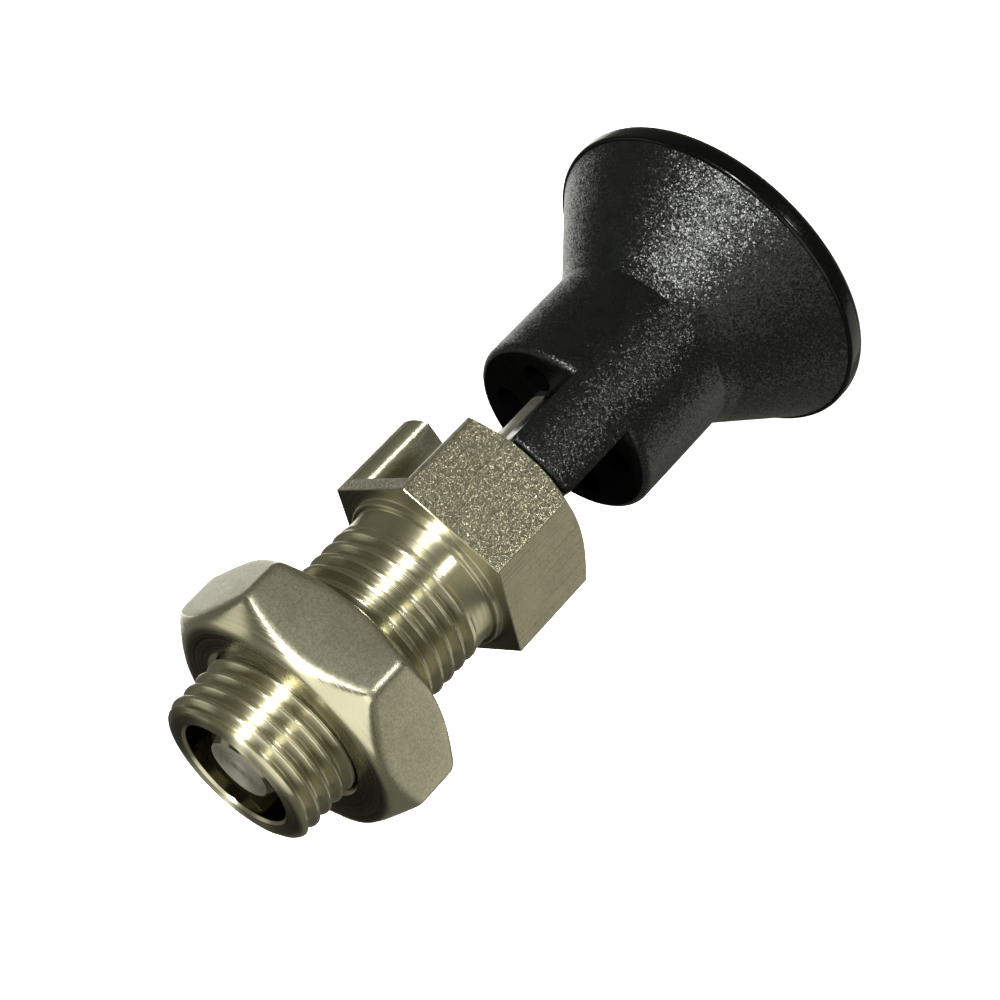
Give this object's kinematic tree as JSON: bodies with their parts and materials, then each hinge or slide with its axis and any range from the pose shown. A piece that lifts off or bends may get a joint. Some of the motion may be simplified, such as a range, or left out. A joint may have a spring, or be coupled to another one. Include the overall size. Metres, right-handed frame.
{
  "type": "indexing plunger",
  "caption": "Spring-loaded indexing plunger with a rest position: threaded sleeve with a slotted hexagon head, lock nut, and a black pull knob with tongues.",
  "frame": {"origin": "middle of the knob's cap, on the surface that the plunger stands on", "axes": "+Z from the knob to the nose along the pin, +X along the slot in the hexagon head"},
  "size_m": [0.0342, 0.0342, 0.07],
  "materials": {
    "sleeve_steel": "turned and milled stainless steel",
    "lock_nut_steel": "pressed stainless steel",
    "pin_steel": "ground stainless steel",
    "spring_steel": "drawn stainless wire",
    "fastener_steel": "plain stainless steel",
    "knob_plastic": "spark-eroded black polyamide",
    "cap_plastic": "glossy black polyamide"
  },
  "bodies": {
    "plunger": {"plunger_body": "sleeve_steel"},
    "lock_nut": {"lock_nut": "lock_nut_steel"},
    "spring": {"compression_spring": "spring_steel"},
    "pin_and_knob": {"index_pin": "pin_steel", "knob": "knob_plastic", "knob_cap": "cap_plastic", "knob_washer": "fastener_steel", "knob_nut": "fastener_steel"}
  },
  "joints": [
    {"name": "lock_nut_turn", "type": "hinge", "parent": "plunger", "child": "lock_nut", "pos_m": [0, 0, 0.0597], "axis": [0, 0, 1], "continuous": true},
    {"name": "pull", "type": "slide", "parent": "plunger", "child": "spring", "axis": [0, 0, -1], "range_m": [0, 0.0012], "stiffness_N_per_m": 2400, "springref_m": -0.0167, "deforming": ["compression_spring"]},
    {"name": "knob_turn", "type": "hinge", "parent": "spring", "child": "pin_and_knob", "pos_m": [0, 0, 0], "axis": [0, 0, 1], "continuous": true}
  ]
}
